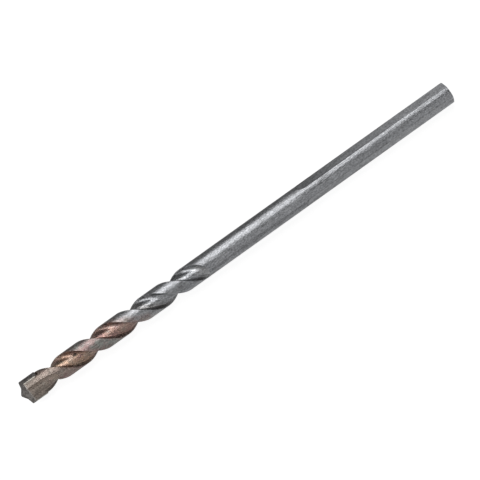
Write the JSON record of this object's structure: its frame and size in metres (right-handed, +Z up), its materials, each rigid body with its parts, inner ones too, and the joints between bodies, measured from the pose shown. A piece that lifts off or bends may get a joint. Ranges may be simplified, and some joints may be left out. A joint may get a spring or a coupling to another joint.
{
  "type": "masonry drill bit",
  "caption": "Masonry drill bit: a carbide plate brazed into a slotted head, a fluted right-hand twist with a run-out, and a straight round shank with ground flats.",
  "frame": {"origin": "centre of the shank's rear end face", "axes": "+X along the bit's axis from the shank to the carbide point, +Z up, with the bit lying on its round belly and the corners of the carbide plate clear of the floor"},
  "size_m": [0.1016, 0.005, 0.0046],
  "materials": {
    "steel": "satin",
    "carbide": "matte",
    "braze": "satin"
  },
  "bodies": {
    "root": {"drill_body": "steel", "carbide_tip": "carbide", "braze_joint": "braze"}
  },
  "joints": []
}
